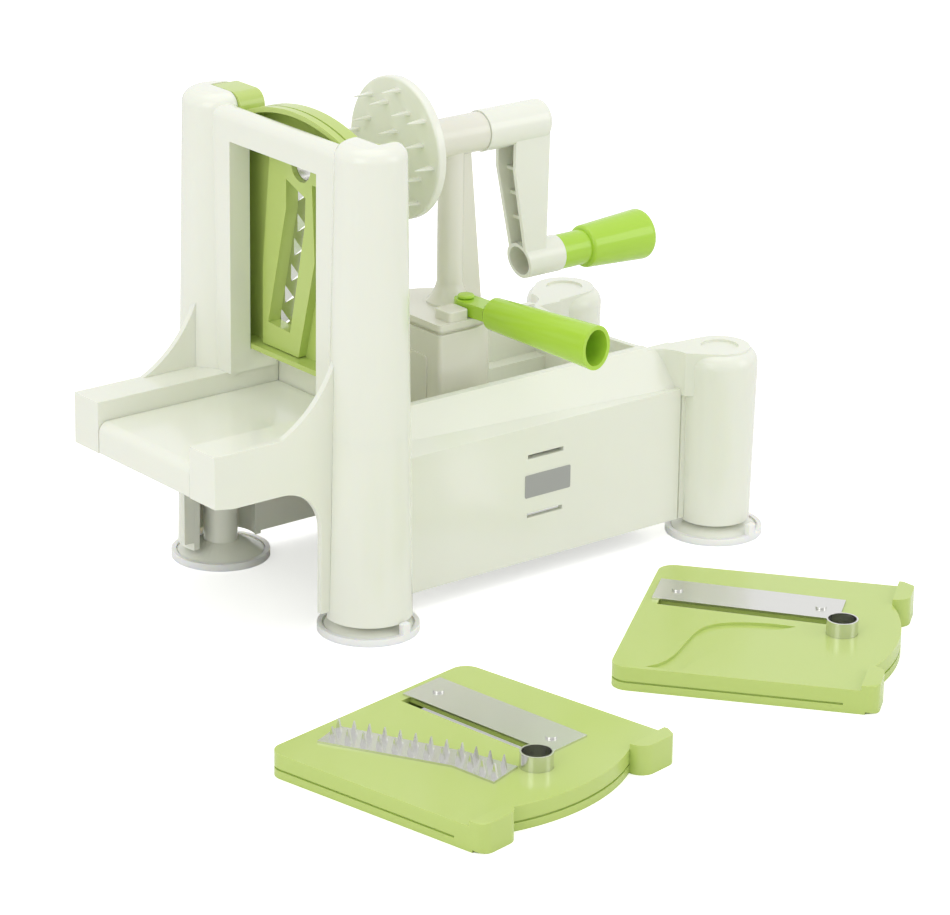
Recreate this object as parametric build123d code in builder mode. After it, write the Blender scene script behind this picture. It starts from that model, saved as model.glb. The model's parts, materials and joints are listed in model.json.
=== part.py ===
from build123d import *
from math import cos, radians, sin
import os

# Spiralizer with crank: a vegetable is pushed against an upright blade cassette and turned by a crank.
# Frame: millimetres, +X from the catch tray to the crank, +Y to the far side, +Z up. The origin is the
# centre of the suction cup under the near tall column, on the table.

# ---------------------------------------------------------------- columns and footprint
column_track = 118.8        # near columns to far columns, centre to centre
column_pitch = 215.8        # tall columns to low columns, centre to centre
column_foot_z = 8.0         # lower edge of all four columns
tall_top_z = 235.0
tall_foot_r = 20.7
tall_top_r = 16.6
tall_edge_r = 7.0           # rounding of the closed top
low_top_z = 96.6
low_foot_r = 17.5
low_top_r = 19.2
low_edge_r = 8.0
dish_r = 9.3                # round dish in the top of a low column
dish_depth = 1.2
seam_z = 97.3               # joint between the base moulding and the tower moulding
shell = 3.0                 # wall of the mouldings

# ---------------------------------------------------------------- feet
cup_r = 24.1
cup_h = 2.4
cup_rim_w = 2.4
cup_rim_h = 1.1
cone_foot_r = 21.0
cone_top_z = 8.5
stem_r = 8.3
stem_top_z = 76.0
socket_wall = 2.5
socket_depth = 9.0
fit_gap = 0.3               # clearance of pieces that are laid or slid in
tab_w = 4.5                 # release tab of a cup
tab_t = 3.0
tab_h = 6.5
tab_turn = 79.0             # angle of the tab from +X, towards the outer side

# ---------------------------------------------------------------- trough, per side from the centre line
panel_inset = 2.9           # outer face of the lower panels, inside the column centres
panel_foot_z = 9.5
panel_top_z = 77.6
ledge_front_x = 36.0        # the ledge over the panel narrows and drops towards the crank end
ledge_front_inset = 6.0     # ledge's inner edge to the panel's outer face
ledge_front_z = 83.4
ledge_back_x = 195.0
ledge_back_inset = 3.5
ledge_back_z = 77.3
band_lean = 11.5            # the upper band leans in by this much from the panel
band_top_z = 98.5
band_top_w = 4.0
rail_inset = 5.0            # outer edge of the sliding rail, inside the band's top
rail_w = 8.0
rail_z = 73.5
floor_z = 61.0
bulkhead_x = 19.0           # front wall of the trough
bulkhead_top_z = 108.0
bulkhead_bead_r = 2.6
end_wall_x = 181.0
end_wall_top_z = 97.0
end_wall_dip = 2.0
shoulder_r = 15.0           # plan of the cap that joins wall and low column
scoop_r = 13.0              # upright hollow between that cap, the ledge and the column
scoop_x = 181.0
groove_x = 194.5
groove_w = 1.0
groove_depth = 1.2
slot_x = 97.5               # two latch slots in the near panel
slot_len = 22.0
slot_h = 2.2
slot_low_z = 31.7
slot_high_z = 61.6

# ---------------------------------------------------------------- catch tray and its walls
tray_end_x = -85.0
tray_floor_z = 92.3
tray_wall_w = 19.5          # width of a side wall of the tray
tray_wall = 2.5
tray_lip_z = 77.0
tray_lip_r = 5.0
wall_top_z = 101.9
wall_foot_z = 76.9
fin_x = -25.4               # front edge of the fin that runs down beside the tall column
fin_foot_z = 12.0
fin_arch_r = 22.0
skirt_foot_z = 75.2
gusset_x = -48.0
gusset_mid_x = -30.5
gusset_mid_z = 114.2
gusset_top_z = 134.0

# ---------------------------------------------------------------- tower and cassette slot
jamb_w = 25.7               # column centre to the window
window_top_z = 216.0
crossbar_top_z = 230.8
frame_depth = 11.5          # exit face of the frame to the cassette
crossbar_edge_r = 5.5

# ---------------------------------------------------------------- blade cassettes
plate_reach = 5.6           # a cassette's edge beyond the column centres
plate_h = 114.5             # foot to upper corner
plate_t = 11.5
plate_skin = 2.5
plate_rim = 2.5
plate_corner_r = 8.0
pad_depth = 4.5             # the raised pads lie this deep from the exit side
hump_rise = 8.8             # top of the hump above the corners
ear_w = 24.0
ear_rise = 8.0
ear_t = 14.0
ear_corner_r = 8.0
ring_r = 7.4                # coring ring
ring_wall = 0.8
ring_stand = 7.2            # above the plate
ring_u = 96.5
ring_sunk = 4.5
ring_boss_t = 5.0
edge_groove_w = 1.0         # groove round the edge of a cassette
edge_groove_depth = 1.2
edge_groove_at = 6.8        # below the blade side
blade_t = 1.0
blade_u0 = 4.0
blade_u1 = 93.0
blade_v = 18.5              # cutting edge, from the cassette's centre line
blade_w = 25.0
blade_slant = 5.0
blade_mouth = 5.0           # opening under the cutting edge
rivet_r = 2.6
rivet_h = 0.9
rivet_inset = 10.0
mouth_inset = 3.5           # the mouth ends this far inside the blade's ends
mouth_cover = 1.0           # and reaches this far under the blade
cassette_floor_z = 112.5    # foot of the cassette in the tower
# outlines on a cassette, as (up from its foot, across from its centre line)
strip_pad = [(100, -25), (93.5, -24.8), (42.5, -30.2), (3, -30.4), (3, -2), (54.5, 11.2), (88, 13), (104, 13)]
triangle_mouth = [(88, -11.6), (73.5, -11.7), (14.5, -26), (13.5, -8.6), (68.5, 3), (82, 3.6)]
triangle_strip = [(90, -13.5), (73.5, -13.6), (12, -28.4), (11, -6.7), (68.5, 5), (84, 5)]
triangle_teeth = [(80.5, -9.3), (65.4, -9.7), (53.0, -12.5), (39.8, -14.9), (28.0, -19.7), (15.5, -22.9)]
tooth_base = 9.0            # foot of a triangle tooth
tooth_point = 7.0           # its height
tooth_t = 1.0
fine_mouth = [(15, -40), (69, -21), (88, -21), (86, -12), (67, -14.5), (12, -30.5)]
fine_strip = [(11.2, -45), (70.7, -25.2), (94.9, -26.1), (92, -7), (67, -10), (7, -27)]
fine_tooth_count = 12
fine_tooth_base = 3.4
fine_tooth_h = 6.0
fine_tooth_inset = 4.5      # from a long edge of the strip to the teeth
ramp_depth = 1.4            # shallow S-shaped ramp of the ribbon cassette
ramp_low = [(33, -62), (39, -44), (51, -22), (60, -9)]
ramp_high = [(75, 2), (49, 1), (37, -5), (29.5, -24), (16, -62)]
fine_lean = 10.64           # turn of the two cassettes on the table, degrees
fine_x = -71.3
fine_y = -93.2
ribbon_lean = 38.45
ribbon_x = 93.8
ribbon_y = -82.1

# ---------------------------------------------------------------- carriage
shoe_x = 62.0
shoe_len = 52.0
shoe_t = 5.0
keel_t = 3.6
keel_foot_z = 64.0
block_x = 65.6
block_len = 44.8
block_half = 28.0           # half width, and radius of the round end
block_top_z = 122.0
block_corner_r = 2.0
hatch_half = 18.6           # outlined panel on the exit side of the block
hatch_low_z = 79.5
hatch_high_z = 110.0
hatch_t = 0.8
lid_seam = 2.0
lid_seam_in = 1.6
lid_t = 3.0
stop_x = 72.0               # stop block that the side handle leans on
stop_len = 12.0
stop_y = -27.0
stop_w = 12.0
stop_h = 5.0

# ---------------------------------------------------------------- post, crank and grips
post_x = 93.5
post_r = 6.3
post_foot_r = 11.2
post_foot_h = 9.5
web_t = 6.0
web_top_x = 102.5
web_foot_x = 110.5
shaft_z = 209.0
shaft_r = 5.0
running_gap = 0.05          # radial clearance of turning fits
bearing_r = 9.4
bearing_end_x = 110.0
disc_x = 59.0
disc_t = 5.0
disc_r = 34.2
spike_len = 10.0
spike_base = 4.0
spike_t = 1.6
spike_ring_out = 28.8
spike_ring_in = 22.0
spike_ring_mid = 8.5
spike_ring_count = 8
spike_mid_count = 3
spike_turn = 6.0
spike_mid_turn = 90.0       # further turn of the inner three
hub_r = 10.1
hub_end_x = 149.0
arm_top_x = 127.0
arm_foot_x = 136.5
arm_back_x = 148.0
arm_top_half = 8.0
arm_foot_half = 6.5
arm_wall = 2.2
arm_rib_t = 1.6
arm_rib_count = 3
throw = 69.5                # shaft axis to grip axis
boss_lead = 2.0             # the boss starts this far before the arm's front
boss_end_x = 159.0
boss_r = 9.0
boss_bore_r = 7.2
boss_web = 5.0
pin_r = 4.0
pin_head_r = 6.2
pin_head_t = 3.0
pin_len = 44.0
neck_r = 8.6
neck_len = 16.5
barrel_len = 39.5
barrel_r0 = 10.5
barrel_r1 = 12.8
barrel_edge_r = 3.0

# ---------------------------------------------------------------- side handle
pivot_x = 90.0
pivot_y = -17.0             # from the centre line
pivot_r = 2.5
pivot_head_r = 4.0
pivot_head_h = 1.6
tongue_t = 6.5
handle_start = 14.5         # pivot to the shoulder of the tube
handle_len = 73.0
handle_heading = 5.0        # degrees from -Y towards +X
handle_z = 130.5
handle_w0 = 15.5
handle_h0 = 16.0
handle_w1 = 18.0
handle_h1 = 21.5
handle_wall = 2.0
handle_bore = 58.0

# ---------------------------------------------------------------- worked out
mid_y = column_track / 2
panel_half = mid_y - panel_inset
ledge_front_half = panel_half - ledge_front_inset
ledge_back_half = panel_half - ledge_back_inset
band_top_half = panel_half - band_lean
rail_half = band_top_half - rail_inset
tray_half = panel_half - tray_wall_w - fit_gap
window_half = mid_y - jamb_w
plate_half = mid_y + plate_reach
hump_h = plate_h + hump_rise
ear_h = plate_h + ear_rise
ear_in = plate_half - ear_w
sides = {"near": -1, "far": 1}
floor_t = shell
bulkhead_t = shell
tray_back_x = bulkhead_x - fit_gap
slot_half = plate_half + fit_gap
slot_depth = plate_t + 2 * fit_gap
slot_foot_z = cassette_floor_z - fit_gap
ear_slot_z = cassette_floor_z + plate_h - fit_gap
shoe_foot_z = rail_z + fit_gap
shoe_top_z = shoe_foot_z + shoe_t
lid_z = block_top_z + lid_seam
lid_top_z = lid_z + lid_t
keel_half = rail_half - rail_w - fit_gap
round_x = block_x + block_len - block_half
disc_back_x = disc_x + disc_t
bearing_x = disc_back_x + fit_gap
hub_x = bearing_end_x + fit_gap
grip_x = boss_end_x + fit_gap
grip_z = shaft_z - throw
pivot_plane_y = mid_y + pivot_y
boss_x = arm_foot_x - boss_lead
tongue_r = pivot_x - stop_x - stop_len - fit_gap


def tall_r(z):
    """Radius of a tall column at height z: a straight taper."""
    share = (z - column_foot_z) / (tall_top_z - column_foot_z)
    return tall_foot_r + (tall_top_r - tall_foot_r) * share


def low_r(z):
    """Radius of a low column at height z: a straight taper, wider at the top."""
    share = (z - column_foot_z) / (low_top_z - column_foot_z)
    return low_foot_r + (low_top_r - low_foot_r) * share


def upright(x, y):
    """Plane that stands at (x, y): its x runs along +X and its y up."""
    return Plane(origin=(x, y, 0), x_dir=(1, 0, 0), z_dir=(0, -1, 0))


def across(x):
    """Plane across the centre line at x: its x runs along +Y from that line and its y up."""
    return Plane(origin=(x, mid_y, 0), x_dir=(0, 1, 0), z_dir=(1, 0, 0))


def level(z, x=0, y=None):
    """Level plane at height z, measured from (x, centre line) unless y is given."""
    return Plane(origin=(x, mid_y if y is None else y, z), x_dir=(1, 0, 0), z_dir=(0, 0, 1))


def outline(*points):
    """Closed face through the points."""
    with BuildSketch() as face:
        with BuildLine():
            Polyline(*points, close=True)
        make_face()
    return face.sketch


def box(x0, x1, y0, y1, z0, z1):
    """Block between two corners, its y measured from the centre line."""
    with BuildPart() as block:
        with BuildSketch(Plane.XY.offset(z0)):
            with Locations(((x0 + x1) / 2, mid_y + (y0 + y1) / 2)):
                Rectangle(x1 - x0, abs(y1 - y0))
        extrude(amount=z1 - z0)
    return block.part


def turned(x, y, profile):
    """Solid turned about the upright axis at (x, y) from a profile of radius and height."""
    with BuildPart() as body:
        with BuildSketch(upright(x, y)):
            add(profile)
        revolve(axis=Axis((x, y, 0), (0, 0, 1)))
    return body.part


def column_face(foot_z, top_z, radius, edge_r, inset=0.0):
    """Half section of a column from foot_z to top_z, its outer edge rounded at the top."""
    with BuildSketch() as face:
        with BuildLine():
            Polyline((0, foot_z), (radius(foot_z) - inset, foot_z), (radius(top_z) - inset, top_z),
                     (0, top_z), close=True)
        make_face()
        if edge_r:
            corner = face.vertices().group_by(Axis.Y)[-1].sort_by(Axis.X)[-1]
            fillet(corner, edge_r)
    return face.sketch


# ================================================================ base moulding
def ledge_at(x):
    """Inner edge of the ledge at x: its distance from the centre line and its height."""
    share = (x - ledge_front_x) / (ledge_back_x - ledge_front_x)
    half = ledge_front_half + (ledge_back_half - ledge_front_half) * share
    height = ledge_front_z + (ledge_back_z - ledge_front_z) * share
    return half, height


def flank(x, side):
    """Section of one side of the trough at x: panel, ledge, leaning band, inner wall and rail."""
    half, height = ledge_at(x)
    inner_top = band_top_half - band_top_w
    rail_in = rail_half - rail_w
    points = [
        (panel_half, panel_foot_z),
        (panel_half, panel_top_z),
        (half, height),
        (band_top_half, band_top_z),
        (inner_top, band_top_z),
        (rail_half, rail_z),
        (rail_in, rail_z),
        (rail_in, floor_z - floor_t),
        (rail_in + shell, floor_z - floor_t),
        (rail_in + shell, rail_z - shell),
        (rail_half + shell, rail_z - shell),
        (inner_top + shell, band_top_z - 2 * shell),
        (half - shell, height - shell),
        (panel_half - shell, panel_top_z - shell),
        (panel_half - shell, panel_foot_z),
    ]
    return outline(*[(side * across_y, z) for across_y, z in points])


def end_wall_face():
    """End wall of the trough, its top edge dipping in a long arc."""
    half = band_top_half - band_top_w / 2
    with BuildSketch() as face:
        with BuildLine():
            Polyline((half, end_wall_top_z), (half, panel_top_z - shell), (panel_half - shell / 2, panel_top_z - shell),
                     (panel_half - shell / 2, panel_foot_z), (-panel_half + shell / 2, panel_foot_z),
                     (-panel_half + shell / 2, panel_top_z - shell), (-half, panel_top_z - shell),
                     (-half, end_wall_top_z))
            ThreePointArc((-half, end_wall_top_z), (0, end_wall_top_z - end_wall_dip), (half, end_wall_top_z))
        make_face()
    return face.sketch


def shoulder_face(side):
    """Plan of the solid corner between the trough's wall and a low column, scooped on its outer side."""
    with BuildSketch() as face:
        with Locations((column_pitch, side * mid_y)):
            Circle(shoulder_r)
        with Locations((end_wall_x, side * (band_top_half - band_top_w / 2))):
            Rectangle(band_top_w, band_top_w)
        make_hull()
        with Locations((scoop_x, side * (band_top_half + scoop_r))):
            Circle(scoop_r, mode=Mode.SUBTRACT)
    return face.sketch


wall_start_x = tall_r(panel_top_z) / 2
with BuildPart() as trough_base:
    for side in sides.values():
        with BuildSketch(across(wall_start_x)):
            add(flank(wall_start_x, side))
        with BuildSketch(across(column_pitch - low_foot_r)):
            add(flank(column_pitch - low_foot_r, side))
        loft(ruled=True)
    add(box(wall_start_x, bulkhead_x, -band_top_half + band_top_w, band_top_half - band_top_w, 0, tall_top_z),
        mode=Mode.SUBTRACT)
    add(box(end_wall_x + shell, column_pitch, -rail_half, rail_half, 0, tall_top_z), mode=Mode.SUBTRACT)
    floor_half = rail_half - rail_w + shell / 2
    add(box(bulkhead_x, end_wall_x + shell, -floor_half, floor_half, floor_z - floor_t, floor_z))
    with BuildSketch(across(end_wall_x)):
        add(end_wall_face())
    extrude(amount=shell)
    bulkhead_half = band_top_half - band_top_w
    add(box(bulkhead_x, bulkhead_x + bulkhead_t, -bulkhead_half, bulkhead_half, floor_z - floor_t, bulkhead_top_z - bulkhead_bead_r))
    with BuildSketch(Plane(origin=(0, mid_y - bulkhead_half, 0), x_dir=(1, 0, 0), z_dir=(0, -1, 0))):
        with Locations((bulkhead_x + bulkhead_bead_r, bulkhead_top_z - bulkhead_bead_r)):
            Circle(bulkhead_bead_r)
    extrude(amount=-2 * bulkhead_half)
    add(box(end_wall_x, column_pitch, -panel_half, panel_half, low_top_z, tall_top_z), mode=Mode.SUBTRACT)
    for side in sides.values():
        with BuildSketch(level(panel_top_z - shell)):
            add(shoulder_face(side))
        extrude(amount=low_top_z - panel_top_z + shell)
    for side in sides.values():
        y = mid_y + side * mid_y
        add(turned(0, y, column_face(seam_z, tall_top_z, tall_r, 0)), mode=Mode.SUBTRACT)
        add(turned(0, y, column_face(column_foot_z, seam_z, tall_r, 0)))
        add(turned(0, y, column_face(column_foot_z, seam_z, tall_r, 0, shell)), mode=Mode.SUBTRACT)
        add(turned(column_pitch, y, column_face(column_foot_z, low_top_z, low_r, low_edge_r)))
        add(turned(column_pitch, y, column_face(column_foot_z, low_top_z - shell, low_r, low_edge_r - shell, shell)),
            mode=Mode.SUBTRACT)
        with Locations((column_pitch, y, low_top_z)):
            Cylinder(dish_r, 2 * dish_depth, mode=Mode.SUBTRACT)
        for x, radius in ((0, tall_r), (column_pitch, low_r)):
            with BuildSketch(level(stem_top_z, x, y)):
                Circle(radius(stem_top_z) - shell / 2)
            extrude(amount=shell)
            with BuildSketch(level(stem_top_z, x, y)):
                Circle(stem_r + fit_gap + socket_wall)
                Circle(stem_r + fit_gap, mode=Mode.SUBTRACT)
            extrude(amount=-socket_depth)
        corner_half = panel_half - shell
        reach = tall_foot_r + shell
        y_in = side * (mid_y - reach)
        add(box(-reach, reach - shell, min(y_in, side * corner_half), max(y_in, side * corner_half), 0,
                stem_top_z - socket_depth - fit_gap), mode=Mode.SUBTRACT)
        groove_half = panel_half - groove_depth / 2
        with Locations((groove_x, mid_y + side * groove_half, (panel_foot_z + panel_top_z) / 2)):
            Box(groove_w, groove_depth, panel_top_z - panel_foot_z, mode=Mode.SUBTRACT)
    for slot_z in (slot_low_z, slot_high_z):
        with Locations((slot_x + slot_len / 2, mid_y - panel_half, slot_z + slot_h / 2)):
            Box(slot_len, 4 * shell, slot_h, mode=Mode.SUBTRACT)
trough_base.part.label = "trough_base"


# ================================================================ tower moulding
def tower_hollow(side):
    """Hollow of one tall column above the seam, less the walls round the cassette slot."""
    hollow = turned(0, mid_y + side * mid_y, column_face(seam_z, tall_top_z - shell, tall_r, tall_edge_r - shell, shell))
    y0 = side * window_half
    y1 = side * (slot_half + shell)
    guide = box(-shell, slot_depth + shell, min(y0, y1), max(y0, y1), slot_foot_z - shell, tall_top_z)
    return hollow - guide


with BuildPart() as blade_tower:
    for side in sides.values():
        add(turned(0, mid_y + side * mid_y, column_face(seam_z, tall_top_z, tall_r, tall_edge_r)))
    with BuildSketch(upright(0, column_track)) as frame_section:
        add(outline((-frame_depth, wall_top_z), (0, wall_top_z), (0, crossbar_top_z), (-frame_depth, crossbar_top_z)))
        top_corners = frame_section.vertices().group_by(Axis.Y)[-1]
        fillet(top_corners, crossbar_edge_r)
    extrude(amount=column_track)
    for side in sides.values():
        y0 = side * window_half
        y1 = side * mid_y
        add(box(-frame_depth, slot_depth + shell, min(y0, y1), max(y0, y1), wall_top_z, slot_foot_z))
    add(box(-2 * frame_depth, 2 * frame_depth, -window_half, window_half, 0, window_top_z), mode=Mode.SUBTRACT)
    for side in sides.values():
        add(tower_hollow(side), mode=Mode.SUBTRACT)
    add(box(0, slot_depth, -slot_half, slot_half, slot_foot_z, tall_top_z + shell), mode=Mode.SUBTRACT)
    add(box(0, ear_t + fit_gap * 2, -slot_half, slot_half, ear_slot_z, tall_top_z + shell), mode=Mode.SUBTRACT)
blade_tower.part.label = "blade_tower"


# ================================================================ catch tray
def side_wall_face():
    """Outer panel of a tray wall: skirt, arch, fin beside the column and curved gusset above."""
    back_x = -tall_r(gusset_top_z) / 2
    arch_x = fin_x - fin_arch_r
    arch_z = skirt_foot_z - fin_arch_r
    skirt_x = tray_end_x + tall_foot_r / 2
    with BuildSketch() as face:
        with BuildLine():
            Polyline((tray_end_x, wall_foot_z), (skirt_x, skirt_foot_z), (arch_x, skirt_foot_z))
            RadiusArc((arch_x, skirt_foot_z), (fin_x, arch_z), fin_arch_r)
            Polyline((fin_x, arch_z), (fin_x, fin_foot_z), (back_x, fin_foot_z), (back_x, gusset_top_z),
                     (-tall_r(gusset_top_z) + shell / 3, gusset_top_z))
            ThreePointArc((-tall_r(gusset_top_z) + shell / 3, gusset_top_z), (gusset_mid_x, gusset_mid_z),
                          (gusset_x, wall_top_z))
            Polyline((gusset_x, wall_top_z), (tray_end_x, wall_top_z), (tray_end_x, wall_foot_z))
        make_face()
    return face.sketch


tray_walls = []
for name, side in sides.items():
    inner_half = tray_half + fit_gap
    y = mid_y + side * mid_y
    with BuildPart() as side_wall:
        y0, y1 = sorted((side * inner_half, side * panel_half))
        add(box(tray_end_x, 0, y0, y1, wall_foot_z, wall_top_z))
        y0, y1 = sorted((side * inner_half, side * (band_top_half - band_top_w - fit_gap)))
        add(box(0, tray_back_x, y0, y1, wall_foot_z, wall_top_z))
        y0, y1 = sorted((side * (inner_half + shell), side * (panel_half - shell)))
        add(box(tray_end_x + shell, 0, y0, y1, wall_foot_z - shell, wall_top_z - shell), mode=Mode.SUBTRACT)
        with BuildSketch(upright(0, mid_y + side * panel_half)):
            add(side_wall_face())
        extrude(amount=side * shell)
        y0, y1 = sorted((side * (inner_half - shell), side * (inner_half + shell / 2)))
        add(box(tray_end_x + shell, tray_back_x, y0, y1, wall_foot_z - shell / 2, tray_lip_z))
        add(turned(0, y, column_face(column_foot_z, tall_top_z, tall_r, 0)), mode=Mode.SUBTRACT)
    side_wall.part.label = "side_wall_" + name
    tray_walls.append(side_wall)

with BuildPart() as catch_tray:
    add(box(tray_end_x, tray_back_x, -tray_half, tray_half, tray_lip_z, tray_floor_z))
    lip_edge = catch_tray.edges().filter_by(Axis.Y).group_by(Axis.Z)[-1].group_by(Axis.X)[0]
    fillet(lip_edge, tray_lip_r)
    inner = tray_half - tray_wall
    add(box(tray_end_x + tray_wall, tray_back_x + tray_wall, -inner, inner, tray_lip_z - tray_wall,
            tray_floor_z - tray_wall), mode=Mode.SUBTRACT)
catch_tray.part.label = "catch_tray"

# ================================================================ feet
feet = {
    "tall_near": (0, -1),
    "tall_far": (0, 1),
    "low_near": (column_pitch, -1),
    "low_far": (column_pitch, 1),
}
foot_parts = []
for name, (x, side) in feet.items():
    y = mid_y + side * mid_y
    with BuildPart() as foot_stem:
        with BuildSketch(upright(x, y)):
            with BuildLine():
                Polyline((0, cup_h), (cone_foot_r, cup_h), (cone_foot_r, cup_h + cup_rim_h / 2),
                         (stem_r + socket_wall / 2, cone_top_z), (stem_r, cone_top_z), (stem_r, stem_top_z),
                         (0, stem_top_z), close=True)
            make_face()
        revolve(axis=Axis((x, y, 0), (0, 0, 1)))
    foot_stem.part.label = "foot_stem_" + name
    foot_parts.append(foot_stem)

    with BuildPart() as suction_cup:
        with BuildSketch(upright(x, y)):
            with BuildLine():
                Polyline((0, 0), (cup_r, 0), (cup_r, cup_h + cup_rim_h), (cup_r - cup_rim_w, cup_h + cup_rim_h),
                         (cup_r - cup_rim_w, cup_h), (0, cup_h), close=True)
            make_face()
        revolve(axis=Axis((x, y, 0), (0, 0, 1)))
        tab_plane = Plane(origin=(x, y, 0), x_dir=(cos(radians(tab_turn)), side * sin(radians(tab_turn)), 0),
                          z_dir=(0, 0, 1))
        with BuildSketch(tab_plane):
            with Locations((cup_r - tab_t / 2, 0)):
                Rectangle(tab_t, tab_w)
        extrude(amount=cup_h + tab_h)
        top_edges = suction_cup.edges().group_by(Axis.Z)[-1]
        fillet(top_edges, tab_t / 4)
    suction_cup.part.label = "suction_cup_" + name
    foot_parts.append(suction_cup)

# ================================================================ carriage
keel_spread = 2 * keel_half - keel_t
with BuildPart() as slide_shoe:
    with BuildSketch(level(shoe_foot_z)):
        with Locations((shoe_x + shoe_len / 2, 0)):
            RectangleRounded(shoe_len, 2 * (rail_half - fit_gap), block_corner_r)
    extrude(amount=shoe_t)
    with BuildSketch(level(shoe_foot_z)):
        with Locations((shoe_x + shoe_len / 2, 0)):
            with GridLocations(0, keel_spread, 1, 2):
                Rectangle(shoe_len, keel_t)
    extrude(amount=keel_foot_z - shoe_foot_z)
slide_shoe.part.label = "slide_shoe"


def block_face(inset):
    """Plan of the carriage: straight towards the blade, round towards the crank."""
    with BuildSketch() as face:
        with Locations((block_x + inset + (round_x - block_x - inset) / 2, 0)):
            Rectangle(round_x - block_x - inset, 2 * (block_half - inset))
        with Locations((round_x, 0)):
            Circle(block_half - inset)
        straight = Rectangle(4 * block_half, 4 * block_half, mode=Mode.PRIVATE)
        add(straight.moved(Location((block_x + inset - 2 * block_half, 0))), mode=Mode.SUBTRACT)
        corners = face.vertices().group_by(Axis.X)[0]
        fillet(corners, block_corner_r)
    return face.sketch


with BuildPart() as carriage_block:
    with BuildSketch(level(shoe_top_z)):
        add(block_face(0))
    extrude(amount=block_top_z - shoe_top_z)
    with BuildSketch(level(block_top_z)):
        add(block_face(lid_seam_in))
    extrude(amount=lid_seam)
    with BuildSketch(level(shoe_top_z)):
        add(block_face(shell))
    extrude(amount=block_top_z - shoe_top_z - shell, mode=Mode.SUBTRACT)
    with BuildSketch(across(block_x)):
        with Locations((0, (hatch_low_z + hatch_high_z) / 2)):
            RectangleRounded(2 * hatch_half, hatch_high_z - hatch_low_z, block_corner_r)
    extrude(amount=-hatch_t)
carriage_block.part.label = "carriage_block"

with BuildPart() as carriage_top_plate:
    with BuildSketch(level(lid_z)):
        add(block_face(0))
    extrude(amount=lid_t)
    with BuildSketch(level(lid_top_z)):
        with Locations((stop_x + stop_len / 2, stop_y + stop_w / 2)):
            RectangleRounded(stop_len, stop_w, block_corner_r)
    extrude(amount=stop_h)
    fillet(carriage_top_plate.edges().group_by(Axis.Z)[-1], lid_t / 4)
    with Locations((pivot_x, pivot_plane_y, lid_top_z)):
        Hole(pivot_r)
carriage_top_plate.part.label = "carriage_top_plate"

# post: round bar with a web behind it, a flared foot and the bearing tube on top
with BuildPart() as tower_post:
    with BuildSketch(upright(post_x, mid_y)):
        with BuildLine():
            Polyline((0, lid_top_z), (post_foot_r, lid_top_z), (post_foot_r, lid_top_z + lid_t / 3))
            RadiusArc((post_foot_r, lid_top_z + lid_t / 3), (post_r, lid_top_z + lid_t / 3 + post_foot_h), 2 * post_foot_h)
            Polyline((post_r, lid_top_z + lid_t / 3 + post_foot_h), (post_r, shaft_z), (0, shaft_z), (0, lid_top_z))
        make_face()
    revolve(axis=Axis((post_x, mid_y, 0), (0, 0, 1)))
    with BuildSketch(upright(0, mid_y)):
        add(outline((post_x, lid_top_z), (web_foot_x, lid_top_z), (web_top_x, shaft_z), (post_x, shaft_z)))
    extrude(amount=web_t / 2, both=True)
    with BuildSketch(across(bearing_x)):
        with Locations((0, shaft_z)):
            Circle(bearing_r)
    extrude(amount=bearing_end_x - bearing_x)
    with BuildSketch(across(bearing_x)):
        with Locations((0, shaft_z)):
            Circle(shaft_r + running_gap)
    extrude(amount=bearing_end_x - bearing_x, mode=Mode.SUBTRACT)
tower_post.part.label = "tower_post"

with BuildPart() as handle_pin:
    tongue_top_z = lid_top_z + fit_gap + tongue_t
    with BuildSketch(upright(pivot_x, pivot_plane_y)):
        with BuildLine():
            Polyline((0, lid_z), (pivot_r, lid_z), (pivot_r, tongue_top_z + fit_gap), (pivot_head_r, tongue_top_z + fit_gap),
                     (pivot_head_r, tongue_top_z + fit_gap + pivot_head_h), (0, tongue_top_z + fit_gap + pivot_head_h), close=True)
        make_face()
    revolve(axis=Axis((pivot_x, pivot_plane_y, 0), (0, 0, 1)))
    fillet(handle_pin.edges().group_by(Axis.Z)[-1], pivot_head_h / 2)
handle_pin.part.label = "handle_pin"

# ================================================================ crank
spike_seats = []
for ring, count, turn in ((spike_ring_out, spike_ring_count, spike_turn),
                          (spike_ring_in, spike_ring_count, spike_turn + 180 / spike_ring_count),
                          (spike_ring_mid, spike_mid_count, spike_turn + spike_mid_turn)):
    for step in range(count):
        angle = radians(turn + step * 360 / count)
        spike_seats.append((ring * cos(angle), ring * sin(angle)))

with BuildPart() as spiked_disc:
    with BuildSketch(across(disc_x)):
        with Locations((0, shaft_z)):
            Circle(disc_r)
    extrude(amount=disc_t)
    fillet(spiked_disc.edges().group_by(Axis.X)[0], disc_t / 4)
    fillet(spiked_disc.edges().group_by(Axis.X)[-1], disc_t / 4)
    with BuildSketch(across(disc_back_x)):
        with Locations((0, shaft_z)):
            Circle(shaft_r)
    extrude(amount=-(disc_t - disc_t / 3), mode=Mode.SUBTRACT)
    for across_y, up_z in spike_seats:
        with BuildSketch(across(disc_x + disc_t / 10)):
            with Locations((across_y, shaft_z + up_z)):
                Rectangle(spike_base, spike_t)
        with BuildSketch(across(disc_x - spike_len)):
            with Locations((across_y, shaft_z + up_z)):
                Rectangle(spike_base / 10, spike_t / 4)
        loft(ruled=True)
spiked_disc.part.label = "spiked_disc"

shaft_end_x = hub_end_x - hub_r
with BuildPart() as crank_shaft:
    with BuildSketch(across(disc_x + disc_t / 3)):
        with Locations((0, shaft_z)):
            Circle(shaft_r)
    extrude(amount=shaft_end_x - disc_x - disc_t / 3)
crank_shaft.part.label = "crank_shaft"

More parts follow.
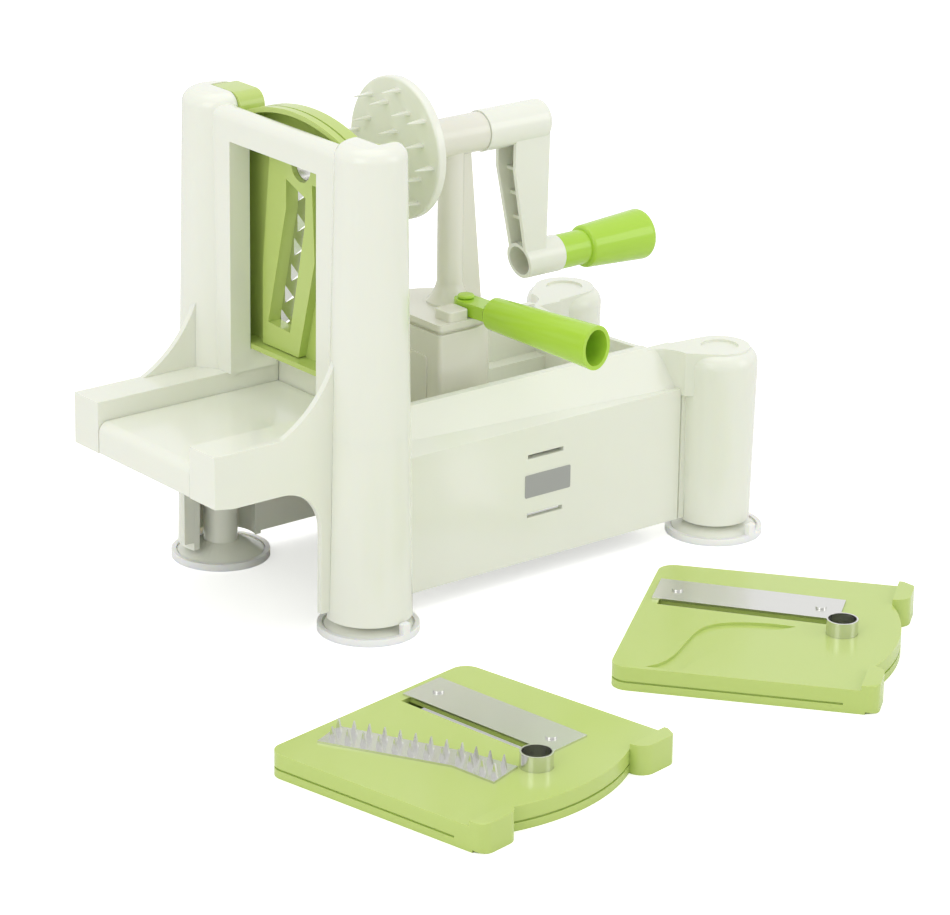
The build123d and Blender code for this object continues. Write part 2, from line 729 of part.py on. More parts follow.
# arm: hub, tapered channel open towards the blade, cross ribs, and the boss for the grip pin
arm_drop = shaft_z - grip_z
with BuildPart() as crank_arm:
    with BuildSketch(across(hub_x)):
        with Locations((0, shaft_z)):
            Circle(hub_r)
    extrude(amount=hub_end_x - hub_x)
    fillet(crank_arm.edges().group_by(Axis.X)[-1], hub_r / 3)
    with BuildSketch(across(arm_top_x)):
        add(outline((-arm_foot_half, grip_z), (arm_foot_half, grip_z), (arm_top_half, shaft_z), (-arm_top_half, shaft_z)))
    extrude(amount=arm_back_x - arm_top_x)
    front_x = arm_top_x - arm_wall
    front_slope = (arm_foot_x - front_x) / (arm_drop - hub_r)
    front = outline((front_x, shaft_z - hub_r), (arm_foot_x + front_slope * boss_r, grip_z - boss_r),
                    (front_x, grip_z - boss_r))
    with BuildSketch(upright(0, mid_y)):
        add(front)
    extrude(amount=2 * arm_top_half, both=True, mode=Mode.SUBTRACT)
    with BuildSketch(across(arm_top_x - arm_wall)):
        foot = arm_foot_half - arm_wall
        top = arm_top_half - arm_wall
        add(outline((-foot, grip_z), (foot, grip_z), (top, shaft_z - hub_r + arm_wall), (-top, shaft_z - hub_r + arm_wall)))
    extrude(amount=arm_back_x - arm_top_x, mode=Mode.SUBTRACT)
    for step in range(arm_rib_count):
        rib_z = shaft_z - hub_r - (step + 1) * (arm_drop - hub_r - boss_r) / (arm_rib_count + 1)
        rib_x = arm_top_x + (arm_foot_x - arm_top_x) * (shaft_z - hub_r - rib_z) / (arm_drop - hub_r)
        add(box(rib_x + 2 * arm_rib_t, arm_back_x - arm_wall / 2, -arm_foot_half, arm_foot_half, rib_z - arm_rib_t / 2,
                rib_z + arm_rib_t / 2))
    with BuildSketch(across(boss_x)):
        with Locations((0, grip_z)):
            Circle(boss_r)
    extrude(amount=boss_end_x - boss_x)
    with BuildSketch(upright(0, mid_y)):
        add(front)
    extrude(amount=2 * arm_top_half, both=True, mode=Mode.SUBTRACT)
    with BuildSketch(across(boss_x)):
        with Locations((0, grip_z)):
            Circle(boss_bore_r)
    extrude(amount=boss_end_x - boss_x - boss_web, mode=Mode.SUBTRACT)
    with BuildSketch(across(boss_x)):
        with Locations((0, grip_z)):
            Circle(pin_r)
    extrude(amount=boss_end_x - boss_x, mode=Mode.SUBTRACT)
    with BuildSketch(across(hub_x)):
        with Locations((0, shaft_z)):
            Circle(shaft_r)
    extrude(amount=shaft_end_x - hub_x, mode=Mode.SUBTRACT)
crank_arm.part.label = "crank_arm"

head_x = boss_end_x - boss_web - pin_head_t
with BuildPart() as grip_pin:
    with BuildSketch(upright(0, mid_y)):
        with BuildLine():
            Polyline((head_x, grip_z), (head_x, grip_z + pin_head_r), (head_x + pin_head_t, grip_z + pin_head_r),
                     (head_x + pin_head_t, grip_z + pin_r), (boss_end_x + pin_len, grip_z + pin_r),
                     (boss_end_x + pin_len, grip_z), close=True)
        make_face()
    revolve(axis=Axis((0, mid_y, grip_z), (1, 0, 0)))
grip_pin.part.label = "grip_pin"

barrel_x = grip_x + neck_len
grip_end_x = barrel_x + barrel_len
with BuildPart() as crank_grip:
    with BuildSketch(upright(0, mid_y)) as half_grip:
        with BuildLine():
            Polyline((grip_x, grip_z), (grip_x, grip_z + neck_r), (barrel_x, grip_z + neck_r),
                     (barrel_x, grip_z + barrel_r0), (grip_end_x, grip_z + barrel_r1), (grip_end_x, grip_z), close=True)
        make_face()
        edge_corner = half_grip.vertices().sort_by(Axis.Y)[-1]
        fillet(edge_corner, barrel_edge_r)
        shoulder = half_grip.vertices().group_by(Axis.X)[1].sort_by(Axis.Y)[-1]
        fillet(shoulder, barrel_r0 - neck_r)
    revolve(axis=Axis((0, mid_y, grip_z), (1, 0, 0)))
    with BuildSketch(across(grip_x)):
        with Locations((0, grip_z)):
            Circle(pin_r + running_gap)
    extrude(amount=boss_end_x + pin_len + fit_gap - grip_x, mode=Mode.SUBTRACT)
crank_grip.part.label = "crank_grip"


# ================================================================ side handle
def handle_plane(distance):
    """Plane across the handle at a distance from the pivot: its x across, its y up."""
    lean = radians(handle_heading)
    along = (sin(lean), -cos(lean), 0)
    return Plane(origin=(pivot_x + distance * along[0], pivot_plane_y + distance * along[1], handle_z),
                 x_dir=(cos(lean), sin(lean), 0), z_dir=along)


with BuildPart() as side_handle:
    with BuildSketch(handle_plane(handle_start)):
        Ellipse(handle_w0 / 4, tongue_t / 2)
    with BuildSketch(handle_plane(handle_start + handle_w0 / 3)):
        Ellipse(handle_w0 / 2, handle_h0 / 2)
    with BuildSketch(handle_plane(handle_start + handle_len)):
        Ellipse(handle_w1 / 2, handle_h1 / 2)
    loft(ruled=True)
    with BuildSketch(handle_plane(handle_start + handle_len - handle_bore)):
        Ellipse(handle_w0 / 2 - handle_wall, handle_h0 / 2 - handle_wall)
    with BuildSketch(handle_plane(handle_start + handle_len)):
        Ellipse(handle_w1 / 2 - handle_wall, handle_h1 / 2 - handle_wall)
    loft(mode=Mode.SUBTRACT)
    tongue_plane = Plane(origin=(pivot_x, pivot_plane_y, lid_top_z + fit_gap),
                         x_dir=(sin(radians(handle_heading)), -cos(radians(handle_heading)), 0), z_dir=(0, 0, 1))
    with BuildSketch(tongue_plane):
        Circle(tongue_r)
        with Locations(((handle_start + handle_w0 / 2) / 2, 0)):
            Rectangle(handle_start + handle_w0 / 2, 2 * tongue_r)
    extrude(amount=tongue_t)
    with BuildSketch(tongue_plane):
        Circle(pivot_r + running_gap)
    extrude(amount=tongue_t, mode=Mode.SUBTRACT)
side_handle.part.label = "side_handle"


# ================================================================ blade cassettes
def seat_on_table(x, y, lean):
    """Seat of a cassette that lies flat: its x up the cassette, its y across, its normal up."""
    turn = radians(lean)
    return Plane(origin=(x, y, 0), x_dir=(sin(turn), -cos(turn), 0), z_dir=(0, 0, 1))


tower_seat = Plane(origin=(fit_gap, mid_y, cassette_floor_z), x_dir=(0, 0, 1), z_dir=(1, 0, 0))
cassette_seats = {
    "triangle": tower_seat,
    "fine": seat_on_table(fine_x, fine_y, fine_lean),
    "ribbon": seat_on_table(ribbon_x, ribbon_y, ribbon_lean),
}


def plate_face(inset=0.0):
    """Outline of a cassette: square foot, round corners and the hump between the ears."""
    top = plate_h - inset
    half = plate_half - inset
    with BuildSketch() as face:
        with BuildLine():
            Polyline((top, ear_in), (top, half), (inset, half), (inset, -half), (top, -half), (top, -ear_in))
            ThreePointArc((top, -ear_in), (top + hump_rise, 0), (top, ear_in))
        make_face()
        foot_corners = face.vertices().group_by(Axis.X)[0]
        fillet(foot_corners, plate_corner_r - inset)
    return face.sketch


def ear_face(side):
    """Outline of an ear, its inner upper corner round as the top of the column beside it."""
    with BuildSketch() as face:
        with Locations((plate_h + ear_rise / 2, side * (ear_in + ear_w / 2))):
            Rectangle(ear_rise, ear_w)
        upper = face.vertices().group_by(Axis.X)[-1].sort_by(Axis.Y)
        inner_corner = upper[0] if side > 0 else upper[-1]
        fillet(inner_corner, ear_rise - shell / 3)
    return face.sketch


tooth_mouths = {"triangle": triangle_mouth, "fine": fine_mouth}

cassette_parts = []
for name, seat in cassette_seats.items():
    with BuildPart() as plate:
        with BuildSketch(seat):
            add(plate_face())
        extrude(amount=plate_t)
        with BuildSketch(seat):
            add(plate_face(plate_rim))
        extrude(amount=plate_t - plate_skin, mode=Mode.SUBTRACT)
        with BuildSketch(seat.offset(plate_t - edge_groove_at - edge_groove_w)):
            add(plate_face())
            add(plate_face(edge_groove_depth), mode=Mode.SUBTRACT)
        extrude(amount=edge_groove_w, mode=Mode.SUBTRACT)
        for side in sides.values():
            with BuildSketch(seat):
                with Locations((plate_h - ear_corner_r / 2, side * (ear_in + ear_w / 2))):
                    Rectangle(ear_corner_r, ear_w)
            extrude(amount=plate_t)
            with BuildSketch(seat):
                add(ear_face(side))
            extrude(amount=ear_t)
        with BuildSketch(seat.offset(pad_depth)):
            add(outline(*strip_pad))
        extrude(amount=plate_t - plate_skin - pad_depth)
        with BuildSketch(seat.offset(plate_t - ring_boss_t)):
            with Locations((ring_u, 0)):
                Circle(ring_r + plate_rim)
        extrude(amount=ring_boss_t)
        mouth_low = blade_u0 + mouth_inset
        mouth_high = blade_u1 - mouth_inset
        with BuildSketch(seat.offset(-plate_t)):
            with Locations((ring_u, 0)):
                Circle(ring_r + running_gap)
            add(outline((mouth_low, blade_v - blade_mouth), (mouth_high, blade_v - blade_mouth - blade_slant),
                        (mouth_high, blade_v - blade_slant + mouth_cover), (mouth_low, blade_v + mouth_cover)))
            if name in tooth_mouths:
                add(outline(*tooth_mouths[name]))
        extrude(amount=3 * plate_t, mode=Mode.SUBTRACT)
        if name not in tooth_mouths:
            with BuildSketch(seat.offset(plate_t)):
                with BuildLine():
                    Spline(*ramp_low)
                    Line(ramp_low[-1], ramp_high[0])
                    Spline(*ramp_high)
                    Line(ramp_high[-1], ramp_low[0])
                make_face()
            extrude(amount=-ramp_depth, mode=Mode.SUBTRACT)
    plate.part.label = name + "_plate"
    cassette_parts.append(plate)

    with BuildPart() as coring_ring:
        with BuildSketch(seat.offset(plate_t - ring_sunk)):
            with Locations((ring_u, 0)):
                Circle(ring_r)
                Circle(ring_r - ring_wall, mode=Mode.SUBTRACT)
        extrude(amount=ring_sunk + ring_stand)
    coring_ring.part.label = name + "_coring_ring"
    cassette_parts.append(coring_ring)

    rivet_seats = [(blade_u0 + rivet_inset, blade_v + blade_w / 2),
                   (blade_u1 - rivet_inset, blade_v + blade_w / 2 - blade_slant)]
    with BuildPart() as straight_blade:
        with BuildSketch(seat.offset(plate_t)):
            add(outline((blade_u0, blade_v), (blade_u1, blade_v - blade_slant),
                        (blade_u1, blade_v + blade_w - blade_slant), (blade_u0, blade_v + blade_w)))
        extrude(amount=blade_t)
        with BuildSketch(seat.offset(plate_t)):
            with Locations(*rivet_seats):
                Circle(rivet_r / 2)
        extrude(amount=blade_t, mode=Mode.SUBTRACT)
    straight_blade.part.label = name + "_blade"
    cassette_parts.append(straight_blade)

    with BuildPart() as rivets:
        with BuildSketch(seat.offset(plate_t)):
            with Locations(*rivet_seats):
                Circle(rivet_r / 2)
        extrude(amount=blade_t)
        with BuildSketch(seat.offset(plate_t + blade_t)):
            with Locations(*rivet_seats):
                Circle(rivet_r)
        extrude(amount=rivet_h)
    rivets.part.label = name + "_rivets"
    cassette_parts.append(rivets)

# triangle cutter: kinked strip with triangular openings, each with its tooth bent up beside it
triangle_seat = cassette_seats["triangle"]
with BuildPart() as triangle_cutter:
    with BuildSketch(triangle_seat.offset(plate_t)):
        add(outline(*triangle_strip))
        for u, v in triangle_teeth:
            add(outline((u - tooth_base / 2, v - tooth_point / 3), (u + tooth_base / 2, v - tooth_point / 3),
                        (u, v + 2 * tooth_point / 3)), mode=Mode.SUBTRACT)
    extrude(amount=blade_t)
    for u, v in triangle_teeth:
        root = Plane(origin=triangle_seat.from_local_coords((u, v - tooth_point / 3, plate_t)),
                     x_dir=triangle_seat.x_dir, z_dir=-triangle_seat.y_dir)
        with BuildSketch(root):
            add(outline((-tooth_base / 2, 0), (tooth_base / 2, 0), (0, tooth_point + blade_t)))
        extrude(amount=tooth_t)
triangle_cutter.part.label = "triangle_cutter"

# fine cutter: kinked strip with two rows of small upright teeth
fine_seat = cassette_seats["fine"]
with BuildPart() as fine_cutter:
    with BuildSketch(fine_seat.offset(plate_t)):
        add(outline(*fine_strip))
    extrude(amount=blade_t)
    low_edge = fine_strip[:3]
    high_edge = fine_strip[:2:-1]
    for edge, shift in ((low_edge, fine_tooth_inset), (high_edge, -fine_tooth_inset)):
        low, kink, high = [(u, v + shift) for u, v in edge]
        for step in range(fine_tooth_count):
            u = low[0] + (high[0] - low[0]) * (step + 0.5) / fine_tooth_count
            first, last = (low, kink) if u < kink[0] else (kink, high)
            v = first[1] + (last[1] - first[1]) * (u - first[0]) / (last[0] - first[0])
            root = Plane(origin=fine_seat.from_local_coords((u, v, plate_t + blade_t / 2)),
                         x_dir=fine_seat.x_dir, z_dir=-fine_seat.y_dir)
            with BuildSketch(root):
                add(outline((-fine_tooth_base / 2, 0), (fine_tooth_base / 2, 0), (0, fine_tooth_h + blade_t / 2)))
            extrude(amount=tooth_t / 2, both=True)
fine_cutter.part.label = "fine_cutter"

# ================================================================ one file for each piece
os.makedirs("parts", exist_ok=True)
pieces = [trough_base, blade_tower, catch_tray, slide_shoe, carriage_block, carriage_top_plate, tower_post, handle_pin,
          spiked_disc, crank_shaft, crank_arm, grip_pin, crank_grip, side_handle, triangle_cutter, fine_cutter]
for piece in pieces + tray_walls + foot_parts + cassette_parts:
    export_step(piece.part, "parts/" + piece.part.label + ".step")
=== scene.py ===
import json
import math

import bmesh
import bpy
import numpy as np
from mathutils import Matrix, Vector

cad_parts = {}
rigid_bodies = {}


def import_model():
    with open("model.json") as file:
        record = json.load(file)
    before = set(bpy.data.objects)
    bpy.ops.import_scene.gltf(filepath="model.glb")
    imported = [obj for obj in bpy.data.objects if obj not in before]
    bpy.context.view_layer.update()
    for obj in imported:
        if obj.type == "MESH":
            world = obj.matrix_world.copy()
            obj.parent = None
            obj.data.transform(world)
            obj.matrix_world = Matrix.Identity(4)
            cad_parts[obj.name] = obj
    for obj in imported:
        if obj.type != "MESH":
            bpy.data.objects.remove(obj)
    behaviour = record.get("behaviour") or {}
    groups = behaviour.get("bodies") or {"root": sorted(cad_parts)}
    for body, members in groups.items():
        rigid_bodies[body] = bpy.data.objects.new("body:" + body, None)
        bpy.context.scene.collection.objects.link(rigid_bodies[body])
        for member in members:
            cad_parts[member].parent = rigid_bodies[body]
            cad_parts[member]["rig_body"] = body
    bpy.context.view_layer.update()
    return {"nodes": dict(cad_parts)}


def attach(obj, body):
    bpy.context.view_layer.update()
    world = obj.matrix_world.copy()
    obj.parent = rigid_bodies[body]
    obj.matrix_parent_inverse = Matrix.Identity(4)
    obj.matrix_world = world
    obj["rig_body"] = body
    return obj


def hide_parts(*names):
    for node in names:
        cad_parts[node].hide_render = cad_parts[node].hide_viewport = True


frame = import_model()

# ---------------------------------------------------------------- base and tower mouldings
# The base, the tower, the tray and its walls are injection-moulded ABS in a warm ivory. The tool is
# polished, so the skin has an even gloss, and every edge keeps the small radius of the tool. The
# tower stands on the base at a seam round each tall column, and the tray is laid in between its walls.
mm = 0.001


def linear(colour):
    """Linear colour of an sRGB hex value: each channel is undone by the sRGB curve."""
    parts = np.array([int(colour[i:i + 2], 16) for i in (1, 3, 5)]) / 255
    low = parts / 12.92
    high = ((parts + 0.055) / 1.055) ** 2.4
    return (*np.where(parts <= 0.04045, low, high), 1.0)


def add_node(tree, kind, links=None, **settings):
    """Adds a node. links maps an input to the socket that feeds it, settings a property or an input
    to its value."""
    made = tree.nodes.new(kind)
    for name, value in settings.items():
        if hasattr(made, name):
            setattr(made, name, value)
        else:
            made.inputs[name.replace("_", " ")].default_value = value
    for name, socket in (links or {}).items():
        tree.links.new(socket, made.inputs[name])
    return made


def moulded_abs(name, colour, shade, roughness=0.16, depth=0.15):
    """Moulded ABS: two close tones drift over about 40 mm, as flow in the tool leaves them, and a
    faint waviness of about 14 mm bends the gloss a little. Light enters the skin by under 2 mm."""
    flow_size = 40 * mm
    wave_size = 14 * mm
    wave_height = 0.15 * mm
    gloss_spread = 0.02
    light_reach = (2.0, 1.6, 0.9)
    material = bpy.data.materials.new(name)
    material.use_nodes = True
    tree = material.node_tree
    tree.nodes.clear()
    place = add_node(tree, "ShaderNodeTexCoord").outputs["Object"]
    flow = add_node(tree, "ShaderNodeTexNoise", {"Vector": place}, Scale=1 / flow_size, Detail=2.0)
    tone = add_node(tree, "ShaderNodeMix", {"Factor": flow.outputs["Fac"]}, data_type="RGBA")
    tone.inputs[6].default_value = linear(colour)
    tone.inputs[7].default_value = linear(shade)
    sink = add_node(tree, "ShaderNodeTexNoise", {"Vector": place}, Scale=1 / wave_size, Detail=1.0)
    gloss = add_node(tree, "ShaderNodeMapRange", {"Value": sink.outputs["Fac"]},
                     To_Min=roughness - gloss_spread, To_Max=roughness + gloss_spread)
    wave = add_node(tree, "ShaderNodeBump", {"Height": sink.outputs["Fac"]},
                    Strength=0.02, Distance=wave_height)
    skin = add_node(tree, "ShaderNodeBsdfPrincipled",
                    {"Base Color": tone.outputs[2], "Roughness": gloss.outputs[0], "Normal": wave.outputs[0]},
                    IOR=1.53, Subsurface_Weight=depth, Subsurface_Radius=light_reach, Subsurface_Scale=1 * mm)
    add_node(tree, "ShaderNodeOutputMaterial", {"Surface": skin.outputs[0]})
    return material


def edged(node, material, edge, shape=None):
    """A copy of a moulding whose sharp edges are rounded to the radius of the tool. It stands for the
    node: its triangles are joined at their corners, flat stretches are made one face, and shape then
    changes the copy where a function for that is given."""
    join_within = 0.002 * mm
    flat_below = math.radians(0.6)
    sharp_above = math.radians(32)
    source = frame["nodes"][node]
    corners = np.empty(len(source.data.vertices) * 3, np.float32)
    source.data.vertices.foreach_get("co", corners)
    used = np.empty(len(source.data.loops), np.int32)
    source.data.loops.foreach_get("vertex_index", used)
    corners = corners.reshape(-1, 3)
    cells = np.round(corners / join_within).astype(np.int64)
    _, first, which = np.unique(cells, axis=0, return_index=True, return_inverse=True)
    faces = which.reshape(-1)[used].reshape(-1, 3)
    sound = (faces[:, 0] != faces[:, 1]) & (faces[:, 1] != faces[:, 2]) & (faces[:, 2] != faces[:, 0])
    mesh = bpy.data.meshes.new(node + "_moulded")
    mesh.from_pydata(corners[first].tolist(), [], faces[sound].tolist())
    flat = bmesh.new()
    flat.from_mesh(mesh)
    bmesh.ops.dissolve_limit(flat, angle_limit=flat_below, verts=flat.verts, edges=flat.edges)
    bmesh.ops.connect_verts_concave(flat, faces=flat.faces)
    if shape:
        shape(flat)
    flat.to_mesh(mesh)
    flat.free()
    mesh.shade_smooth()
    mesh.set_sharp_from_angle(angle=sharp_above)
    piece = bpy.data.objects.new(node + "_moulded", mesh)
    bpy.context.scene.collection.objects.link(piece)
    mesh.materials.append(material)
    if edge:
        rounding = piece.modifiers.new("tool radius", "BEVEL")
        rounding.width = edge
        rounding.segments = 2
        rounding.limit_method = "ANGLE"
        rounding.angle_limit = sharp_above
        rounding.harden_normals = True
    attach(piece, source["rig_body"])
    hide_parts(node)
    return piece


tower_edge = 0.6 * mm
ivory = moulded_abs("ivory moulded ABS", "#F1F3E7", "#EFF1E4")
for node in ("trough_base", "blade_tower", "side_wall_near", "side_wall_far", "catch_tray"):
    edged(node, ivory, tower_edge)

# ---------------------------------------------------------------- feet
# Each foot is a rigid moulded stem that plugs into a socket in its column, with a cone that backs a
# soft cup. The cup is clear PVC, dip-soft and hazy, and holds the machine to the table by suction.
part_edge = 0.4 * mm
feet = ("tall_near", "tall_far", "low_near", "low_far")
for foot in feet:
    edged("foot_stem_" + foot, ivory, part_edge)
soft_pvc = moulded_abs("hazy soft PVC", "#F8F8F6", "#F4F5F2", roughness=0.3, depth=0.6)
for foot in feet:
    edged("suction_cup_" + foot, soft_pvc, part_edge)

# ---------------------------------------------------------------- carriage
# The carriage slides in the trough: a shoe on the two rails, a hollow block with its cover plate,
# and the post that holds the crank's bearing. It is ABS too, a little greyer than the base.
carriage_edge = 0.5 * mm
stone = moulded_abs("stone moulded ABS", "#ECEBDE", "#E9E8DA", roughness=0.2)
for node in ("slide_shoe", "carriage_block", "carriage_top_plate", "tower_post"):
    edged(node, stone, carriage_edge)

# ---------------------------------------------------------------- crank
# The spiked disc and the channel arm are moulded in the base's ivory. The steel shaft joins them
# through the bearing, and a headed steel pin carries the grip.
spike_edge = 0.15 * mm
edged("spiked_disc", ivory, spike_edge)
edged("crank_arm", ivory, part_edge)


def stainless(name, colour, roughness, grain):
    """Ground stainless steel: fine scratches run along one axis, about 0.3 mm apart, and stretch the
    highlight across them."""
    scratch_gap = 0.3 * mm
    gloss_spread = 0.03
    material = bpy.data.materials.new(name)
    material.use_nodes = True
    tree = material.node_tree
    tree.nodes.clear()
    place = add_node(tree, "ShaderNodeTexCoord").outputs["Object"]
    along = add_node(tree, "ShaderNodeMapping", {"Vector": place}, Scale=grain)
    scratches = add_node(tree, "ShaderNodeTexNoise", {"Vector": along.outputs[0]},
                         Scale=1 / scratch_gap, Detail=2.0)
    gloss = add_node(tree, "ShaderNodeMapRange", {"Value": scratches.outputs["Fac"]},
                     To_Min=roughness - gloss_spread, To_Max=roughness + gloss_spread)
    skin = add_node(tree, "ShaderNodeBsdfPrincipled", {"Roughness": gloss.outputs[0]},
                    Metallic=1.0, Base_Color=linear(colour))
    add_node(tree, "ShaderNodeOutputMaterial", {"Surface": skin.outputs[0]})
    return material


ground_steel = stainless("ground stainless steel", "#DDDDDA", 0.24, (0.05, 1.0, 1.0))
shaft_edge = 0.2 * mm
for node in ("crank_shaft", "grip_pin"):
    edged(node, ground_steel, shaft_edge)

# ---------------------------------------------------------------- grips
# The crank's grip and the side handle are moulded in lime green ABS with the same bright gloss. The
# handle's pin is of the same green, pressed through its tongue.
lime = moulded_abs("lime moulded ABS", "#B5DE48", "#B3DC45", roughness=0.14)
for node in ("crank_grip", "side_handle", "handle_pin"):
    edged(node, lime, part_edge)

# ---------------------------------------------------------------- blade cassettes
# Each cassette is a yellow-green ABS plate with a stainless blade riveted on, a coring ring pressed
# into it, and on two of them a strip with cut and bent teeth. The ears at its head are rounded lugs,
# and the near one in the tower sits lower, inside its column.
blade_edge = 0.05 * mm
leaf = moulded_abs("leaf green moulded ABS", "#C3D67A", "#C1D577", roughness=0.18)
ear_w = 24 * mm
ear_rise = 8 * mm
ear_round = 6 * mm
sunk_ear_drop = 6 * mm
same_place = 0.1 * mm


def lug_ears(upwards, across, drop=0.0):
    """Makes the two ears at a plate's head into lugs: their outer corners become arcs, and the ear on
    the low side of across is lower by drop times the share of the ear's rise that lies below a point.
    upwards and across are the plate's long and cross directions."""
    def shape(flat):
        places = np.array([v.co for v in flat.verts])
        u = places @ np.array(upwards)
        v = places @ np.array(across)
        v = v - (v.min() + v.max()) / 2
        tip = v.max()
        head = u[np.abs(v) > tip - 1 * mm].max()
        corner = (np.abs(u - head) < same_place) & (np.abs(v) > tip - same_place)
        share = np.clip((u - head + ear_rise) / ear_rise, 0, 1)
        flat.verts.index_update()
        for vert in flat.verts:
            if v[vert.index] < ear_w - tip + same_place:
                vert.co -= Vector(upwards) * float(drop * share[vert.index])
        chosen = [e for e in flat.edges if all(corner[w.index] for w in e.verts)]
        bmesh.ops.bevel(flat, geom=chosen, offset=ear_round, offset_type="OFFSET", segments=7, profile=0.5,
                        affect="EDGES", clamp_overlap=True)
    return shape


def lying(lean):
    """Long and cross directions of a plate that lies on the table, turned by lean degrees."""
    turn = math.radians(lean)
    return (math.sin(turn), -math.cos(turn), 0.0), (math.cos(turn), math.sin(turn), 0.0)


standing = ((0.0, 0.0, 1.0), (0.0, 1.0, 0.0), sunk_ear_drop)
cassettes = {"triangle": standing, "fine": lying(10.64), "ribbon": lying(38.45)}
for cassette, directions in cassettes.items():
    edged(cassette + "_plate", leaf, carriage_edge, lug_ears(*directions))
    for node in (cassette + "_blade", cassette + "_coring_ring", cassette + "_rivets"):
        edged(node, ground_steel, blade_edge)
for node in ("triangle_cutter", "fine_cutter"):
    edged(node, ground_steel, 0.0)

# ---------------------------------------------------------------- bare plate on the near panel
# A small thin plate of mid grey, satin and with rounded corners, is bonded to the near panel between
# its two latch slots. It is bare.
plate_low = np.array((96.0, 42.0)) * mm
plate_high = np.array((124.0, 53.5)) * mm
plate_corner = 0.8 * mm
plate_stand = 0.25 * mm
panel_y = 2.9 * mm


def rounded_rectangle(low, high, radius, steps=8):
    """Outline of a rectangle whose corners are quarter circles: each corner's centre plus the radius
    times (cos, sin) over its quarter turn."""
    turn = np.linspace(0, math.pi / 2, steps)
    centres = np.array(((high[0], high[1]), (low[0], high[1]), (low[0], low[1]), (high[0], low[1])))
    inwards = np.array(((-1, -1), (1, -1), (1, 1), (-1, 1))) * radius
    quarter = np.arange(4)[:, None] * math.pi / 2 + turn[None, :]
    ring = np.stack((np.cos(quarter), np.sin(quarter)), axis=-1) * radius
    return ((centres + inwards)[:, None, :] + ring).reshape(-1, 2)


ring = rounded_rectangle(plate_low, plate_high, plate_corner)
count = len(ring)
front = np.column_stack((ring[:, 0], np.full(count, panel_y - plate_stand), ring[:, 1]))
back = front + (0, plate_stand, 0)
sides = [(i, (i + 1) % count, count + (i + 1) % count, count + i) for i in range(count)]
mesh = bpy.data.meshes.new("bare_plate")
mesh.from_pydata(np.vstack((front, back)).tolist(), [],
                 [tuple(range(count)), tuple(range(2 * count - 1, count - 1, -1))] + [s[::-1] for s in sides])
bare_plate = bpy.data.objects.new("bare_plate", mesh)
bpy.context.scene.collection.objects.link(bare_plate)
mesh.materials.append(moulded_abs("satin grey print", "#A9AAA9", "#A5A6A5", roughness=0.4, depth=0.0))
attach(bare_plate, "base")

# ---------------------------------------------------------------- table, light and camera
# A plain pale table under a white surround. The surround is white to the eye and dimmer as a light,
# and the table adds a little white for the eye alone, so that only the contact shadows show on it.
reach = 6.0
white = (1, 1, 1, 1)
veil_strength = 0.5
floor_mesh = bpy.data.meshes.new("table_top")
floor_corners = [(-reach, -reach, 0), (reach, -reach, 0), (reach, reach, 0), (-reach, reach, 0)]
floor_mesh.from_pydata(floor_corners, [], [(0, 1, 2, 3)])
floor = bpy.data.objects.new("table_top", floor_mesh)
bpy.context.scene.collection.objects.link(floor)
paper = bpy.data.materials.new("white table")
paper.use_nodes = True
tree = paper.node_tree
tree.nodes.clear()
eye = add_node(tree, "ShaderNodeLightPath").outputs["Is Camera Ray"]
matt = add_node(tree, "ShaderNodeBsdfDiffuse", Color=linear("#F8F8F7"))
to_the_eye = add_node(tree, "ShaderNodeMath", {0: eye}, operation="MULTIPLY")
to_the_eye.inputs[1].default_value = veil_strength
veil = add_node(tree, "ShaderNodeEmission", {"Strength": to_the_eye.outputs[0]}, Color=white)
both = add_node(tree, "ShaderNodeAddShader", {0: matt.outputs[0], 1: veil.outputs[0]})
add_node(tree, "ShaderNodeOutputMaterial", {"Surface": both.outputs[0]})
floor_mesh.materials.append(paper)

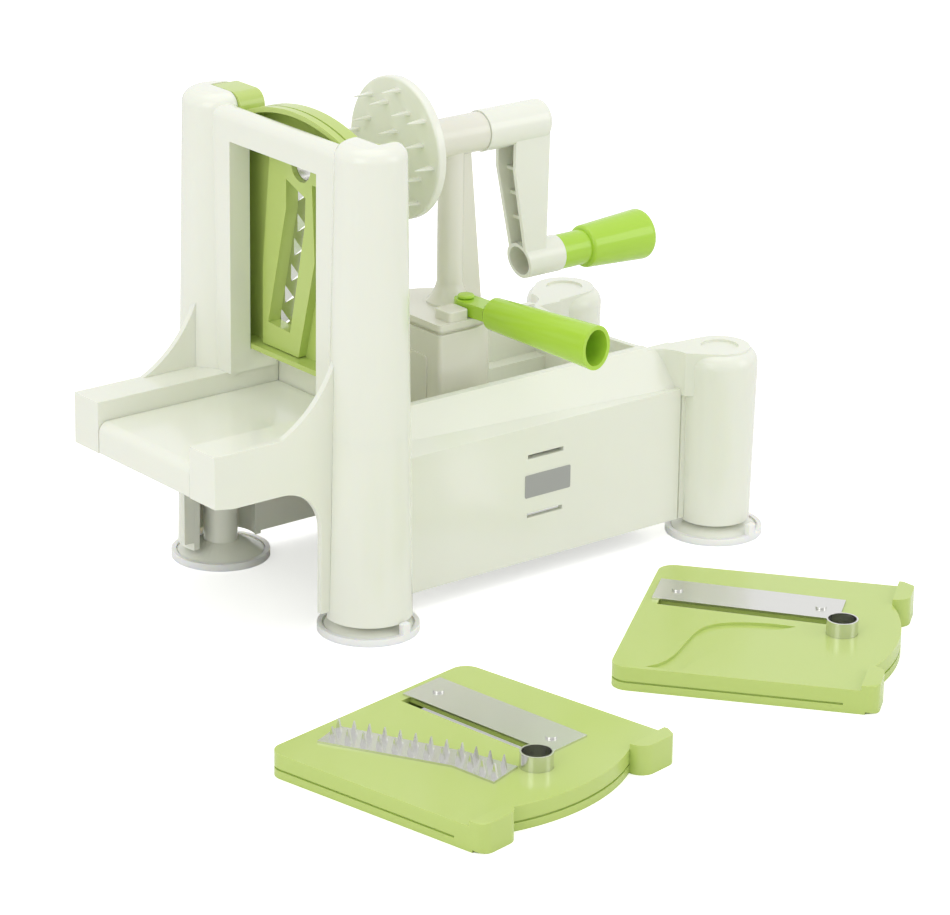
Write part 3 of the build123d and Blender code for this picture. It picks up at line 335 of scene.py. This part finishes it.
world = bpy.data.worlds.new("white surround")
bpy.context.scene.world = world
world.use_nodes = True
tree = world.node_tree
tree.nodes.clear()
rays = add_node(tree, "ShaderNodeLightPath")
seen = rays.outputs["Is Camera Ray"]
for kind in ("Is Glossy Ray", "Is Transmission Ray"):
    seen = add_node(tree, "ShaderNodeMath", {0: seen, 1: rays.outputs[kind]}, operation="MAXIMUM").outputs[0]
as_light = add_node(tree, "ShaderNodeBackground", Color=white, Strength=0.74)
as_backdrop = add_node(tree, "ShaderNodeBackground", Color=white, Strength=1.0)
surround = add_node(tree, "ShaderNodeMixShader", {0: seen, 1: as_light.outputs[0], 2: as_backdrop.outputs[0]})
add_node(tree, "ShaderNodeOutputWorld", {"Surface": surround.outputs[0]})

lamps = (("overhead softbox", (0.1, 0.1, 1.7), 1.6, 6.5),
         ("left softbox", (-1.6, -0.5, 1.0), 1.0, 5.5),
         ("right softbox", (1.3, -1.5, 0.9), 1.0, 4.5))
middle = Vector((0.1, 0.06, 0.1))
for name, place, side, power in lamps:
    light = bpy.data.lights.new(name, "AREA")
    light.shape = "SQUARE"
    light.size = side
    light.energy = power
    lamp = bpy.data.objects.new(name, light)
    bpy.context.scene.collection.objects.link(lamp)
    lamp.location = place
    lamp.rotation_mode = "QUATERNION"
    lamp.rotation_quaternion = (Vector(place) - middle).to_track_quat("Z", "Y")

camera_place = Vector((-1087.7, -1421.1, 735.9)) * mm
look_at = Vector((110.7, 59.4, 43.34)) * mm
camera_roll = math.radians(0.84)
image_width = 950
focal_pixels = 4135.84
sight = bpy.data.cameras.new("camera")
camera = bpy.data.objects.new("camera", sight)
bpy.context.scene.collection.objects.link(camera)
bpy.context.scene.camera = camera
backwards = (camera_place - look_at).normalized()
right = Vector((0, 0, 1)).cross(backwards).normalized()
up = backwards.cross(right)
turned_right = right * math.cos(camera_roll) + up * math.sin(camera_roll)
turned_up = up * math.cos(camera_roll) - right * math.sin(camera_roll)
camera.matrix_world = Matrix.LocRotScale(
    camera_place, Matrix((turned_right, turned_up, backwards)).transposed().to_quaternion(), (1, 1, 1))
sight.sensor_width = 36
sight.lens = sight.sensor_width * focal_pixels / image_width
sight.clip_end = 50

scene = bpy.context.scene
scene.view_settings.view_transform = "Standard"
